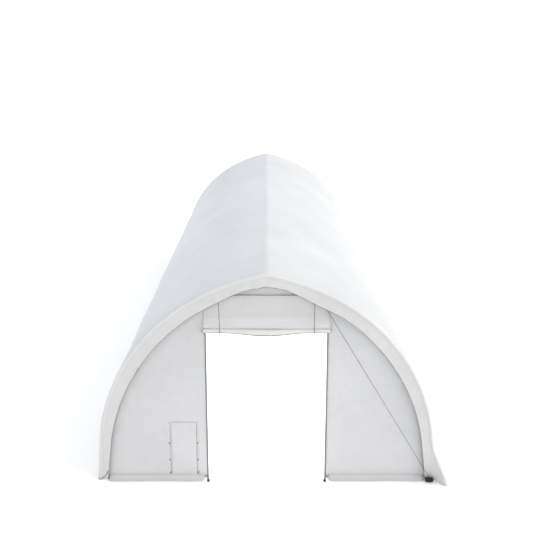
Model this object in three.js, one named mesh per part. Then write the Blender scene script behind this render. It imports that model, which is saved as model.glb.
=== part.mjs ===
import * as THREE from "three";

// Arched fabric shelter for calves and other livestock, with a roll-up front door.
// Millimetres, +Z up, origin on the ground under the middle. The doorway faces -Y.

const GAP = 0.3; // clearance between pieces that touch
const DEG = Math.PI / 180;

// Cover. Its side outline is a straight leg, a haunch arc and a flatter crown arc.
const COVER_LENGTH = 12190;
const COVER_HEM_HEIGHT = 20;
const LEG_LENGTH = 707;
const LEG_LEAN = 4 * DEG;
const HAUNCH_RADIUS = 3420;
const HAUNCH_END = 58 * DEG;
const HAUNCH_FACETS = 4;
const CROWN_RADIUS = 4030;
const CROWN_END = 79.5 * DEG;
const CROWN_FACETS = 2;
const FABRIC = 3;
const VALANCE_DEPTH = 175;
const VALANCE_SWELL = 95;
const VALANCE_RIDGE_DROP = 50; // extra depth at the ridge, where the draw rope rounds the corner
const VALANCE_ROPE_RADIUS = 3;

// Frame
const ARCH_COUNT = 6;
const ARCH_TUBE_RADIUS = 30;
const PURLIN_RADIUS = 21;
const ELBOW_REACH = 120;
const FOOT_RADIUS = 48;
const FOOT_THICKNESS = 8;
const PURLIN_FACET = 3; // haunch facet that carries the side purlin, counted from the ground

// End walls
const WALL_SETBACK = 66; // from the valance's face back to the wall's face
const WALL_INSET = 4;
const WALL_BOTTOM = 12;
const DOOR_HALF_WIDTH = 1055;
const DOOR_HEIGHT = 3100;
const POST_FOOT_RADIUS = 45;
const BINDING_WIDTH = 26;

// Roll-up door
const CURTAIN_HALF_WIDTH = 1100;
const CURTAIN_TOP = 3530;
const CURTAIN_SETBACK = 48;
const CURTAIN_CORNER_RUN = 150;
const CURTAIN_CORNER_DROP = 75;
const ROLL_HEIGHT = 2890;
const ROLL_RADIUS = 42;
const ROLLER_HALF_LENGTH = 1125;
const BATTEN_HALF_LENGTH = 920;

// Hoist
const SLING_X = 830;
const SLING_ROPE_RADIUS = 4;
const HAUL_ROPE_RADIUS = 4;
const SHEAVE_RADIUS = 30;
const SHEAVE_SETBACK = 27;
const SINGLE_SHEAVE_WIDTH = 16;
const DOUBLE_SHEAVE_WIDTH = 31;
const CROSS_ROPE_HEIGHT = 3534;
const CLEAT_X = 2935;
const CLEAT_ADVANCE = 52; // in front of the valance's face
const CLEAT_BASE = 6;
const HANK_HEIGHT = 58;
const HANK_HALF_LENGTH = 76;
const HANK_HALF_WIDTH = 42;

// Calf flap in the left front wall
const FLAP_OUTER_X = -1720;
const FLAP_INNER_X = -1270;
const FLAP_HEIGHT = 1105;
const FLAP_GAP = 2;
const ZIP_WIDTH = 24;
const SLIDER_HEIGHT = 34;

const FRONT_Y = -COVER_LENGTH / 2;
const WALL_Y = FRONT_Y + WALL_SETBACK;
const CURTAIN_Y = FRONT_Y + CURTAIN_SETBACK;
const ROLL_Y = CURTAIN_Y - GAP - ROLL_RADIUS;
const SHEAVE_Y = FRONT_Y + SHEAVE_SETBACK;
const SHEAVE_Z = CROSS_ROPE_HEIGHT - SHEAVE_RADIUS - GAP - HAUL_ROPE_RADIUS;
const SLING_OFFSET = ROLL_RADIUS + FABRIC + 1 + SLING_ROPE_RADIUS;
const FLAT = Math.cos(Math.PI / 8); // an octagon's flat-to-centre distance over its radius

const FABRIC_WHITE = new THREE.MeshStandardMaterial({ color: 0xe6e8ea, roughness: 0.62, metalness: 0 });
const GALVANISED = new THREE.MeshStandardMaterial({ color: 0xb2b6b9, roughness: 0.42, metalness: 0.8 });
const ROPE_BLACK = new THREE.MeshStandardMaterial({ color: 0x1a1b1e, roughness: 0.85, metalness: 0 });
const WEBBING_GREY = new THREE.MeshStandardMaterial({ color: 0x3c3f44, roughness: 0.8, metalness: 0 });
const PLASTIC_BLACK = new THREE.MeshStandardMaterial({ color: 0x202225, roughness: 0.5, metalness: 0 });

const shelter = new THREE.Group();

function add(name, geometry, material) {
  const mesh = new THREE.Mesh(geometry, material);
  mesh.name = name;
  shelter.add(mesh);
  return mesh;
}

// Signed volume of an indexed or plain triangle geometry.
function signedVolume(geometry) {
  const points = geometry.getAttribute("position");
  const index = geometry.getIndex();
  const count = index ? index.count : points.count;
  const corner = (i) => new THREE.Vector3().fromBufferAttribute(points, index ? index.getX(i) : i);
  let volume = 0;
  for (let i = 0; i < count; i += 3) {
    volume += corner(i).dot(corner(i + 1).cross(corner(i + 2))) / 6;
  }
  return volume;
}

// Closed skin through a row of rings that all have the same number of points.
function loft(rings) {
  const sides = rings[0].length;
  const last = (rings.length - 1) * sides;
  const faces = [];
  for (let r = 0; r + 1 < rings.length; r += 1) {
    for (let s = 0; s < sides; s += 1) {
      const a = r * sides + s;
      const b = r * sides + ((s + 1) % sides);
      faces.push(a, b, b + sides, a, b + sides, a + sides);
    }
  }
  for (let s = 1; s + 1 < sides; s += 1) {
    faces.push(0, s + 1, s, last, last + s, last + s + 1);
  }
  const geometry = new THREE.BufferGeometry();
  geometry.setAttribute("position", new THREE.Float32BufferAttribute(rings.flat(2), 3));
  geometry.setIndex(faces);
  if (signedVolume(geometry) < 0) {
    geometry.setIndex([...faces].reverse());
  }
  return geometry;
}

// Flat sheet: an outline in X and Z, thick along Y from nearY to nearY + thickness.
function sheet(outline, nearY, thickness) {
  const shape = new THREE.Shape(outline.map(([x, z]) => new THREE.Vector2(x, z)));
  const geometry = new THREE.ExtrudeGeometry(shape, { depth: thickness, bevelEnabled: false });
  geometry.rotateX(Math.PI / 2);
  geometry.translate(0, nearY + thickness, 0);
  return geometry;
}

function box(width, depth, height, x, y, z) {
  return new THREE.BoxGeometry(width, depth, height).translate(x, y, z);
}

function straightTube(from, to, radius, sides = 8) {
  const start = new THREE.Vector3(...from);
  const run = new THREE.Vector3(...to).sub(start);
  const geometry = new THREE.CylinderGeometry(radius, radius, run.length(), sides);
  const turn = new THREE.Quaternion().setFromUnitVectors(
    new THREE.Vector3(0, 1, 0),
    run.clone().normalize(),
  );
  geometry.applyQuaternion(turn);
  geometry.translate(start.x + run.x / 2, start.y + run.y / 2, start.z + run.z / 2);
  return geometry;
}

// Outline of the cover's outer face in X and Z, from the right hem up to the ridge.
function halfOutline() {
  const steps = [];
  for (let i = 0; i < CROWN_FACETS; i += 1) {
    steps.push([CROWN_RADIUS, CROWN_END, HAUNCH_END, i / CROWN_FACETS, (i + 1) / CROWN_FACETS]);
  }
  for (let i = 0; i < HAUNCH_FACETS; i += 1) {
    steps.push([HAUNCH_RADIUS, HAUNCH_END, LEG_LEAN, i / HAUNCH_FACETS, (i + 1) / HAUNCH_FACETS]);
  }
  const points = [[0, 0]];
  for (const [radius, first, final, from, to] of steps) {
    const [x, z] = points[points.length - 1];
    const a = first + (final - first) * from;
    const b = first + (final - first) * to;
    points.push([x + radius * (Math.cos(b) - Math.cos(a)), z - radius * (Math.sin(a) - Math.sin(b))]);
  }
  const [x, z] = points[points.length - 1];
  points.push([x + LEG_LENGTH * Math.sin(LEG_LEAN), z - LEG_LENGTH * Math.cos(LEG_LEAN)]);
  const lift = COVER_HEM_HEIGHT - points[points.length - 1][1];
  return points.map(([px, pz]) => [px, pz + lift]).reverse();
}

const RIGHT = halfOutline();
const RIDGE = RIGHT.length - 1;
const ARCH = [...RIGHT, ...RIGHT.slice(0, -1).reverse().map(([x, z]) => [-x, z])];

// Outward mitre direction at each corner of the arch.
const MITRES = ARCH.map((point, i) => {
  const normal = (a, b) => {
    const length = Math.hypot(b[0] - a[0], b[1] - a[1]);
    return [(b[1] - a[1]) / length, -(b[0] - a[0]) / length];
  };
  const before = i > 0 ? normal(ARCH[i - 1], point) : normal(point, ARCH[i + 1]);
  const after = i + 1 < ARCH.length ? normal(point, ARCH[i + 1]) : before;
  const scale = 1 + before[0] * after[0] + before[1] * after[1];
  return [(before[0] + after[0]) / scale, (before[1] + after[1]) / scale];
});

function inset(i, depth) {
  return [ARCH[i][0] - depth * MITRES[i][0], ARCH[i][1] - depth * MITRES[i][1]];
}

// Height of the cover's outer face above a point x from the middle.
function outlineHeight(x) {
  const reach = Math.abs(x);
  const i = RIGHT.findIndex(([px]) => px <= reach);
  const [x0, z0] = RIGHT[Math.max(i - 1, 0)];
  const [x1, z1] = RIGHT[Math.max(i, 1)];
  return z0 + ((z1 - z0) * (reach - x0)) / (x1 - x0);
}

// Band that follows the whole arch; section(i) gives its corners as [depth below the outline, y].
function archBand(section) {
  return loft(ARCH.map((point, i) => section(i).map(([depth, y]) => {
    const [x, z] = inset(i, depth);
    return [x, y, z];
  })));
}

function valanceDepth(i) {
  const swell = VALANCE_SWELL * Math.sin((Math.PI * Math.min(i, ARCH.length - 1 - i)) / RIDGE);
  return VALANCE_DEPTH + swell + (i === RIDGE ? VALANCE_RIDGE_DROP : 0);
}

const TUBE_INSET = FABRIC + GAP + ARCH_TUBE_RADIUS * FLAT;
const FIRST_ARCH_Y = FRONT_Y + FABRIC + GAP + ARCH_TUBE_RADIUS;

function octagon(radius) {
  return Array.from({ length: 8 }, (unused, k) => {
    const angle = (k + 0.5) * (Math.PI / 4);
    return [radius * Math.cos(angle), radius * Math.sin(angle)];
  });
}

// Point on the arch tubes' centre line at a given reach from the ridge, on the right side.
function nearRidge(reach) {
  const top = inset(RIDGE, TUBE_INSET);
  const next = inset(RIDGE - 1, TUBE_INSET);
  const share = reach / Math.hypot(next[0] - top[0], next[1] - top[1]);
  return [top[0] + (next[0] - top[0]) * share, top[1] + (next[1] - top[1]) * share];
}

// Direction of the topmost facet, as an angle below the horizontal.
const CROWN_SLOPE = Math.atan2(ARCH[RIDGE][1] - ARCH[RIDGE - 1][1], ARCH[RIDGE - 1][0] - ARCH[RIDGE][0]);

// Ring of a rafter's upper end, square across the tube at a given reach from the ridge.
function upperRing(side, reach, y) {
  const [x, z] = nearRidge(reach);
  return octagon(ARCH_TUBE_RADIUS).map(([u, v]) => {
    return [side * (x + u * Math.sin(CROWN_SLOPE)), y + v, z + u * Math.cos(CROWN_SLOPE)];
  });
}

// Half of an arch: one bent tube from its round foot plate up to the ridge elbow.
function rafter(side, y) {
  const rings = [];
  const [hemX] = inset(0, TUBE_INSET);
  const footX = hemX + (COVER_HEM_HEIGHT - FOOT_THICKNESS) * Math.tan(LEG_LEAN);
  const plate = [[FOOT_RADIUS, 0], [FOOT_RADIUS, FOOT_THICKNESS], [ARCH_TUBE_RADIUS, FOOT_THICKNESS]];
  for (const [radius, z] of plate) {
    rings.push(octagon(radius).map(([u, v]) => [side * (footX + u), y + v, z]));
  }
  for (let i = 1; i < RIDGE; i += 1) {
    rings.push(octagon(ARCH_TUBE_RADIUS).map(([u, v]) => {
      const [x, z] = inset(i, TUBE_INSET - u);
      return [side * x, y + v, z];
    }));
  }
  rings.push(upperRing(side, ELBOW_REACH + GAP, y));
  return loft(rings);
}

// Bent sleeve that joins the two rafters under the ridge.
function ridgeElbow(y) {
  const middle = octagon(ARCH_TUBE_RADIUS).map(([u, v]) => {
    const [x, z] = inset(RIDGE, TUBE_INSET - u);
    return [x, y + v, z];
  });
  return loft([upperRing(1, ELBOW_REACH, y), middle, upperRing(-1, ELBOW_REACH, y)]);
}

function addFrame() {
  const spacing = (-2 * FIRST_ARCH_Y) / (ARCH_COUNT - 1);
  for (let n = 0; n < ARCH_COUNT; n += 1) {
    const y = FIRST_ARCH_Y + n * spacing;
    add(`arch_${n + 1}_left`, rafter(-1, y), GALVANISED);
    add(`arch_${n + 1}_right`, rafter(1, y), GALVANISED);
    add(`ridge_elbow_${n + 1}`, ridgeElbow(y), GALVANISED);
  }
}

// Straight tubes that run the length of the shelter between the end walls, inside the arches.
function addPurlins() {
  const end = WALL_Y + FABRIC + GAP;
  const depth = TUBE_INSET + ARCH_TUBE_RADIUS + GAP + PURLIN_RADIUS;
  const lengthwise = (x, z) => straightTube([x, end, z], [x, -end, z], PURLIN_RADIUS);
  const [, ridgeZ] = inset(RIDGE, TUBE_INSET + ARCH_TUBE_RADIUS + GAP + PURLIN_RADIUS);
  add("ridge_purlin", lengthwise(0, ridgeZ), GALVANISED);
  const low = inset(0, depth);
  const high = inset(1, depth);
  const share = 0.4;
  const haunch = [inset(PURLIN_FACET, depth), inset(PURLIN_FACET + 1, depth)];
  for (const [name, side] of [["left", -1], ["right", 1]]) {
    add(`base_rail_${name}`, lengthwise(side * (low[0] + (high[0] - low[0]) * share),
      low[1] + (high[1] - low[1]) * share), GALVANISED);
    add(`side_purlin_${name}`, lengthwise(side * (haunch[0][0] + haunch[1][0]) / 2,
      (haunch[0][1] + haunch[1][1]) / 2), GALVANISED);
  }
}

function addCover() {
  const near = FRONT_Y + FABRIC + GAP;
  add("roof_cover", archBand(() => [[0, near], [0, -near], [FABRIC, -near], [FABRIC, near]]), FABRIC_WHITE);
  for (const [name, y] of [["front", FRONT_Y], ["rear", -FRONT_Y - FABRIC]]) {
    const section = (i) => [[0, y], [0, y + FABRIC], [valanceDepth(i), y + FABRIC], [valanceDepth(i), y]];
    add(`${name}_valance`, archBand(section), FABRIC_WHITE);
  }
  const ropeY = FRONT_Y + FABRIC / 2;
  add("valance_rope", archBand((i) => octagon(VALANCE_ROPE_RADIUS).map(([u, v]) => {
    return [valanceDepth(i) + VALANCE_ROPE_RADIUS + GAP + u, ropeY + v];
  })), ROPE_BLACK);
}

// Outline of the wall from the right bottom corner up to the height above x = limit.
function wallEdge(limit) {
  const points = ARCH.slice(0, RIDGE + 1).map((point, i) => inset(i, WALL_INSET));
  const kept = points.filter(([x]) => x > limit);
  kept[0] = [kept[0][0], WALL_BOTTOM];
  const [x0, z0] = points[kept.length - 1];
  const [x1, z1] = points[kept.length];
  kept.push([limit, z0 + ((z1 - z0) * (limit - x0)) / (x1 - x0)]);
  return kept;
}

function addWalls() {
  const right = [[DOOR_HALF_WIDTH, WALL_BOTTOM], ...wallEdge(DOOR_HALF_WIDTH)];
  const mirrored = right.map(([x, z]) => [-x, z]).reverse();
  const notch = [
    [FLAP_OUTER_X, WALL_BOTTOM],
    [FLAP_OUTER_X, FLAP_HEIGHT],
    [FLAP_INNER_X, FLAP_HEIGHT],
    [FLAP_INNER_X, WALL_BOTTOM],
  ];
  add("front_wall_right", sheet(right, WALL_Y, FABRIC), FABRIC_WHITE);
  const left = [...mirrored.slice(0, -1), ...notch, ...mirrored.slice(-1)];
  add("front_wall_left", sheet(left, WALL_Y, FABRIC), FABRIC_WHITE);

  const half = DOOR_HALF_WIDTH - GAP;
  const [, cornerZ] = wallEdge(half).pop();
  const [, ridgeZ] = inset(RIDGE, WALL_INSET);
  const [shoulderX, shoulderZ] = inset(RIDGE - 1, WALL_INSET);
  const shoulder = shoulderX < half ? [[shoulderX, shoulderZ]] : [];
  const mirroredShoulder = shoulder.map(([x, z]) => [-x, z]);
  const gable = [[-half, DOOR_HEIGHT], [half, DOOR_HEIGHT], [half, cornerZ], ...shoulder, [0, ridgeZ],
    ...mirroredShoulder, [-half, cornerZ]];
  add("front_gable", sheet(gable, WALL_Y, FABRIC), FABRIC_WHITE);

  const rearHalf = wallEdge(0);
  const rear = [...rearHalf, ...rearHalf.slice(0, -1).reverse().map(([x, z]) => [-x, z])];
  add("rear_wall", sheet(rear, -WALL_Y - FABRIC, FABRIC), FABRIC_WHITE);
}

// Upright of an end wall: a tube on a round foot plate.
function post(x, y, height) {
  const rings = [
    [POST_FOOT_RADIUS, 0],
    [POST_FOOT_RADIUS, FOOT_THICKNESS],
    [PURLIN_RADIUS, FOOT_THICKNESS],
    [PURLIN_RADIUS, height],
  ];
  return loft(rings.map(([radius, z]) => octagon(radius).map(([u, v]) => [x + u, y + v, z])));
}

function addPosts() {
  const x = DOOR_HALF_WIDTH + PURLIN_RADIUS;
  const height = outlineHeight(x) - FABRIC - ARCH_TUBE_RADIUS;
  const frontY = WALL_Y + FABRIC + GAP + PURLIN_RADIUS;
  const bindingHeight = DOOR_HEIGHT - WALL_BOTTOM;
  const bindingY = WALL_Y - GAP - 1;
  for (const [name, side] of [["left", -1], ["right", 1]]) {
    add(`door_post_${name}`, post(side * x, frontY, height), GALVANISED);
    add(`rear_post_${name}`, post(side * x, -frontY, height), GALVANISED);
    const bindingX = side * (DOOR_HALF_WIDTH + BINDING_WIDTH / 2);
    const bindingZ = WALL_BOTTOM + bindingHeight / 2;
    const binding = box(BINDING_WIDTH, 2, bindingHeight, bindingX, bindingY, bindingZ);
    add(`jamb_binding_${name}`, binding, WEBBING_GREY);
  }
}

function addCurtain() {
  const cornerX = CURTAIN_HALF_WIDTH - CURTAIN_CORNER_RUN;
  const cornerZ = CURTAIN_TOP - CURTAIN_CORNER_DROP;
  const outline = [
    [-CURTAIN_HALF_WIDTH, ROLL_HEIGHT],
    [CURTAIN_HALF_WIDTH, ROLL_HEIGHT],
    [CURTAIN_HALF_WIDTH, cornerZ],
    [cornerX, CURTAIN_TOP],
    [-cornerX, CURTAIN_TOP],
    [-CURTAIN_HALF_WIDTH, cornerZ],
  ];
  add("curtain_panel", sheet(outline, CURTAIN_Y, FABRIC), FABRIC_WHITE);
  const battenDepth = WALL_Y - CURTAIN_Y - FABRIC - 2 * GAP;
  add("curtain_batten", box(2 * BATTEN_HALF_LENGTH, battenDepth, 30,
    0, CURTAIN_Y + FABRIC + GAP + battenDepth / 2, CURTAIN_TOP - 20), GALVANISED);

  const bore = PURLIN_RADIUS + GAP;
  const profile = [[bore, -1], [ROLL_RADIUS, -1], [ROLL_RADIUS, 1], [bore, 1], [bore, -1]];
  const roll = new THREE.LatheGeometry(profile.map(([r, end]) => {
    return new THREE.Vector2(r, end * CURTAIN_HALF_WIDTH);
  }), 16);
  roll.rotateZ(-Math.PI / 2);
  roll.translate(0, ROLL_Y, ROLL_HEIGHT);
  add("curtain_roll", roll, FABRIC_WHITE);
  const pipe = new THREE.CylinderGeometry(PURLIN_RADIUS, PURLIN_RADIUS, 2 * ROLLER_HALF_LENGTH, 16);
  pipe.rotateZ(-Math.PI / 2);
  pipe.translate(0, ROLL_Y, ROLL_HEIGHT);
  add("roller_pipe", pipe, GALVANISED);
}

// Half turn of rope under the roll, seen along X.
function slingBight(x) {
  const steps = 8;
  const rings = [];
  for (let i = 0; i <= steps; i += 1) {
    const angle = Math.PI * (1 + i / steps);
    rings.push(octagon(SLING_ROPE_RADIUS).map(([u, v]) => {
      const reach = SLING_OFFSET + u;
      return [x + v, ROLL_Y + reach * Math.cos(angle), ROLL_HEIGHT + reach * Math.sin(angle)];
    }));
  }
  return loft(rings);
}

// Grooved wheel with stub axles, turning about Y.
function sheave(x, width) {
  const hub = width / 2 + 1.5;
  const rim = width / 2;
  const profile = [[0, -hub], [7, -hub], [7, -rim], [SHEAVE_RADIUS, -rim], [SHEAVE_RADIUS - 4, 0],
    [SHEAVE_RADIUS, rim], [7, rim], [7, hub], [0, hub]];
  const geometry = new THREE.LatheGeometry(profile.map(([r, y]) => new THREE.Vector2(r, y)), 16);
  return geometry.translate(x, SHEAVE_Y, SHEAVE_Z);
}

// Bracket of a pulley: two cheeks, a bridge above the ropes and a stem up to the front arch.
function pulleyHousing(x, width) {
  const inner = width / 2 + 1.5 + GAP;
  const outer = inner + 3;
  const bottom = SHEAVE_Z - 16;
  const bridge = CROSS_ROPE_HEIGHT + HAUL_ROPE_RADIUS + 2;
  const top = outlineHeight(Math.abs(x) + 16) - FABRIC - 2 * ARCH_TUBE_RADIUS - 8;
  const outline = [[-outer, bottom], [-inner, bottom], [-inner, bridge], [inner, bridge], [inner, bottom],
    [outer, bottom], [outer, bridge + 5], [6, bridge + 5], [6, top], [-6, top], [-6, bridge + 5],
    [-outer, bridge + 5]];
  const shape = new THREE.Shape(outline.map(([y, z]) => new THREE.Vector2(y, z)));
  const geometry = new THREE.ExtrudeGeometry(shape, { depth: 30, bevelEnabled: false });
  geometry.rotateX(Math.PI / 2);
  geometry.rotateZ(Math.PI / 2);
  return geometry.translate(x - 15, SHEAVE_Y, 0);
}

function addHoist() {
  const axle = SHEAVE_RADIUS + GAP + SLING_ROPE_RADIUS;
  const sides = [
    ["left", -SLING_X, SINGLE_SHEAVE_WIDTH, 0],
    ["right", SLING_X, DOUBLE_SHEAVE_WIDTH, 8],
  ];
  for (const [name, x, width, groove] of sides) {
    add(`pulley_housing_${name}`, pulleyHousing(x + axle, width), GALVANISED);
    add(`sheave_${name}`, sheave(x + axle, width), PLASTIC_BLACK);
    const top = [x, SHEAVE_Y + groove, SHEAVE_Z];
    const foot = [x, ROLL_Y - SLING_OFFSET, ROLL_HEIGHT + 1.2];
    add(`sling_fall_${name}`, straightTube(top, foot, SLING_ROPE_RADIUS), ROPE_BLACK);
    add(`sling_bight_${name}`, slingBight(x), ROPE_BLACK);
  }
  const leftX = -SLING_X + axle;
  const rightX = SLING_X + axle;
  const crossEnds = [[leftX, SHEAVE_Y, CROSS_ROPE_HEIGHT], [rightX, SHEAVE_Y - 8, CROSS_ROPE_HEIGHT]];
  add("cross_rope", straightTube(...crossEnds, HAUL_ROPE_RADIUS), ROPE_BLACK);

  const end = new THREE.Vector2(CLEAT_X, CLEAT_BASE + HANK_HEIGHT + 16);
  const along = end.clone().sub(new THREE.Vector2(rightX, SHEAVE_Z)).normalize();
  const reach = SHEAVE_RADIUS + 2 * GAP + HAUL_ROPE_RADIUS;
  const start = new THREE.Vector2(rightX - along.y * reach, SHEAVE_Z + along.x * reach);
  add("hauling_rope", straightTube([start.x, SHEAVE_Y, start.y], [end.x, FRONT_Y - CLEAT_ADVANCE, end.y],
    HAUL_ROPE_RADIUS), ROPE_BLACK);
}

// Rectangle with round ends, centred on the origin.
function stadium(halfLength, halfWidth) {
  const path = new THREE.Path();
  path.moveTo(-halfLength + halfWidth, -halfWidth);
  path.lineTo(halfLength - halfWidth, -halfWidth);
  path.absarc(halfLength - halfWidth, 0, halfWidth, -Math.PI / 2, Math.PI / 2);
  path.lineTo(-halfLength + halfWidth, halfWidth);
  path.absarc(-halfLength + halfWidth, 0, halfWidth, Math.PI / 2, (3 * Math.PI) / 2);
  return path.getPoints(5);
}

// Horn cleat staked to the ground in front of the right arch, with the spare rope wound round its neck.
function addCleat() {
  const horn = CLEAT_BASE + HANK_HEIGHT + 1;
  const outline = [[-30, 0], [30, 0], [30, CLEAT_BASE], [12, CLEAT_BASE], [12, horn], [66, horn + 3],
    [66, horn + 9], [-66, horn + 9], [-66, horn + 3], [-12, horn], [-12, CLEAT_BASE], [-30, CLEAT_BASE]];
  add("rope_cleat", sheet(outline.map(([x, z]) => [CLEAT_X + x, z]), FRONT_Y - CLEAT_ADVANCE - 12, 24),
    PLASTIC_BLACK);

  const shape = new THREE.Shape(stadium(HANK_HALF_LENGTH, HANK_HALF_WIDTH));
  shape.holes.push(new THREE.Path(stadium(20, 16)));
  const hank = new THREE.ExtrudeGeometry(shape, { depth: HANK_HEIGHT, bevelEnabled: false });
  hank.translate(CLEAT_X, FRONT_Y - CLEAT_ADVANCE, CLEAT_BASE + GAP);
  add("rope_hank", hank, ROPE_BLACK);
}

function addCalfFlap() {
  const flap = [
    [FLAP_OUTER_X + FLAP_GAP, WALL_BOTTOM],
    [FLAP_INNER_X - FLAP_GAP, WALL_BOTTOM],
    [FLAP_INNER_X - FLAP_GAP, FLAP_HEIGHT - FLAP_GAP],
    [FLAP_OUTER_X + FLAP_GAP, FLAP_HEIGHT - FLAP_GAP],
  ];
  add("calf_flap", sheet(flap, WALL_Y, FABRIC), FABRIC_WHITE);
  const height = FLAP_HEIGHT - WALL_BOTTOM;
  const zips = [["outer", FLAP_OUTER_X - ZIP_WIDTH / 2], ["inner", FLAP_INNER_X + ZIP_WIDTH / 2]];
  for (const [name, x] of zips) {
    const tapeY = WALL_Y - GAP - 1;
    const sliderY = WALL_Y - 2 * GAP - 2 - 3.5;
    const sliderZ = WALL_BOTTOM + SLIDER_HEIGHT / 2;
    add(`zip_${name}`, box(ZIP_WIDTH, 2, height, x, tapeY, WALL_BOTTOM + height / 2), WEBBING_GREY);
    add(`zip_slider_${name}`, box(12, 7, SLIDER_HEIGHT, x, sliderY, sliderZ), PLASTIC_BLACK);
  }
}

addFrame();
addPurlins();
addCover();
addWalls();
addPosts();
addCurtain();
addHoist();
addCleat();
addCalfFlap();

export default shelter;
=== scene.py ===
import math

import bpy
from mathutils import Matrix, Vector, noise
from mathutils.geometry import delaunay_2d_cdt


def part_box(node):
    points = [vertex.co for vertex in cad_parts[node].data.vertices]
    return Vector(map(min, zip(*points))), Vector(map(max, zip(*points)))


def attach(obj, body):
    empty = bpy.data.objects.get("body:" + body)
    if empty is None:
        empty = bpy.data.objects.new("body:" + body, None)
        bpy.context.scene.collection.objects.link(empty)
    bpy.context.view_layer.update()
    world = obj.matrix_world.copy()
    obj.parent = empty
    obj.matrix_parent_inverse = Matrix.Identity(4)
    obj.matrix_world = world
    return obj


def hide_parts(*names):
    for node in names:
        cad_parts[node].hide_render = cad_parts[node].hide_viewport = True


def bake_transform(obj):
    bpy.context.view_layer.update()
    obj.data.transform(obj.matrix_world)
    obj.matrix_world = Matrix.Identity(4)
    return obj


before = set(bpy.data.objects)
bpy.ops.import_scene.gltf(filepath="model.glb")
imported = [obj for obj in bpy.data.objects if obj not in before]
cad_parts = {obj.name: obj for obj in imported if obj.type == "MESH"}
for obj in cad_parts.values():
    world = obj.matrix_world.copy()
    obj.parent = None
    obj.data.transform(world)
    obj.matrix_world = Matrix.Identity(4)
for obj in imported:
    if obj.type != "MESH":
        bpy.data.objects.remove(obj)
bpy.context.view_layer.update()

# Looks of an arched fabric livestock shelter with a roll-up front door. Metres, +Z up, doorway facing -Y.
# "Girth" is the distance down over the roof from the ridge, negative on the left side.

# Outline of the cover: a crown arc, a haunch arc and a straight leg on each side.
LEG_LENGTH = 0.707
LEG_LEAN = math.radians(4)
HAUNCH_RADIUS = 3.42
HAUNCH_END = math.radians(58)
CROWN_RADIUS = 4.03
CROWN_END = math.radians(79.5)
CROWN_LENGTH = CROWN_RADIUS * (CROWN_END - HAUNCH_END)
HAUNCH_LENGTH = HAUNCH_RADIUS * (HAUNCH_END - LEG_LEAN)
HALF_GIRTH = CROWN_LENGTH + HAUNCH_LENGTH + LEG_LENGTH
HEM_DROP = 0.018  # the cloth's hems hang this much lower than its stiff outline
RIDGE_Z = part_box("roof_cover")[1].z
CROWN_CENTRE = (-CROWN_RADIUS * math.cos(CROWN_END), RIDGE_Z - CROWN_RADIUS * math.sin(CROWN_END))
HAUNCH_CENTRE = tuple(
    centre + (CROWN_RADIUS - HAUNCH_RADIUS) * part
    for centre, part in zip(CROWN_CENTRE, (math.cos(HAUNCH_END), math.sin(HAUNCH_END)))
)

# Valance and cloth
VALANCE_DEPTH = 0.175
VALANCE_SWELL = 0.095
VALANCE_RIDGE_DROP = 0.050
VALANCE_RIDGE_REACH = 0.30
VALANCE_SLACK_LEFT = 0.018
VALANCE_SLACK_RIGHT = 0.045
EDGE_RADIUS = 0.034  # of the cloth's turn over the end arch
HEM_WIDTH = 0.011
CLOTH = 0.0016
CLOTH_STEP = 0.06
FRONT_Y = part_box("front_valance")[0].y
WALL_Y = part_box("front_gable")[0].y
WALL_HEM = 0.002
WALL_INSET = 0.004  # from the cover's outer face to the end wall's edge
WALL_REACH = 2.99  # no inner point of an end wall's cloth is further out than this
GROUND_GAP = 0.002  # no cover hem hangs lower than this

# Loose front corner of the right skirt
FLARE_OUT = 0.195
FLARE_FORWARD = 0.85  # of the distance out
FLARE_DROP = 0.10  # of the distance out
FLARE_HEIGHT = 0.85
FLARE_LENGTH = 1.5

# Loose hems on the ground beside the doorway, as inner and outer ends
GROUND_FLAPS = {"left": (-1.135, -2.875), "right": (1.135, 2.850)}
GROUND_FLAP_DEPTH = 0.118

# Frame
ARCH_COUNT = 6
ARCH_RADIUS = 0.030
ARCH_DEPTH = 0.034  # from the cover's outer face to the middle of an arch tube
ELBOW_REACH = 0.12
FOOT_RADIUS = 0.048
FOOT_THICKNESS = 0.008
PURLIN_RADIUS = 0.021

# Door
DOOR_HALF_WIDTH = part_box("front_gable")[1].x + 0.0003
DOOR_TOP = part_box("front_gable")[0].z
CURTAIN_LOW, CURTAIN_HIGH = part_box("curtain_panel")
CURTAIN_CORNER_RUN = 0.150
CURTAIN_CORNER_DROP = 0.075
CURTAIN_TRAVEL = 2.826
ROLL_LOW, ROLL_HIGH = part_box("curtain_roll")
ROLL_Y = (ROLL_LOW.y + ROLL_HIGH.y) / 2
ROLL_Z = (ROLL_LOW.z + ROLL_HIGH.z) / 2
ROLL_RADIUS = (ROLL_HIGH.z - ROLL_LOW.z) / 2
ROLL_SAG_SPAN = 0.80
ROLL_BAG = 0.50  # of the roll's radius
ROLL_BAG_DROP = 0.026
BAGGING = 1.09  # length of the bagged turns over the length of even ones
SHADE_STRIP_ROWS = (6, 9)  # rows of the roll's outer turn painted in dark webbing material: painted shade under the roll
SHELF_TOP = 3.125  # the curtain's slack stands out between these two heights
SHELF_FOOT = 2.9325
SHELF_ROWS = (2.9325, 2.9345, 2.937, 2.941, 2.947, 2.955)  # finer where the slack turns over the roll
BOOT_X = 1.048
BOOT_REACH = 0.120  # in front of the wall
BOOT_SIZE = (0.050, 0.030, 0.042)
CUFF_X = 1.060
CUFF_REACH = 0.060
CUFF_SIZE = (0.022, 0.104, 0.006)

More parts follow.
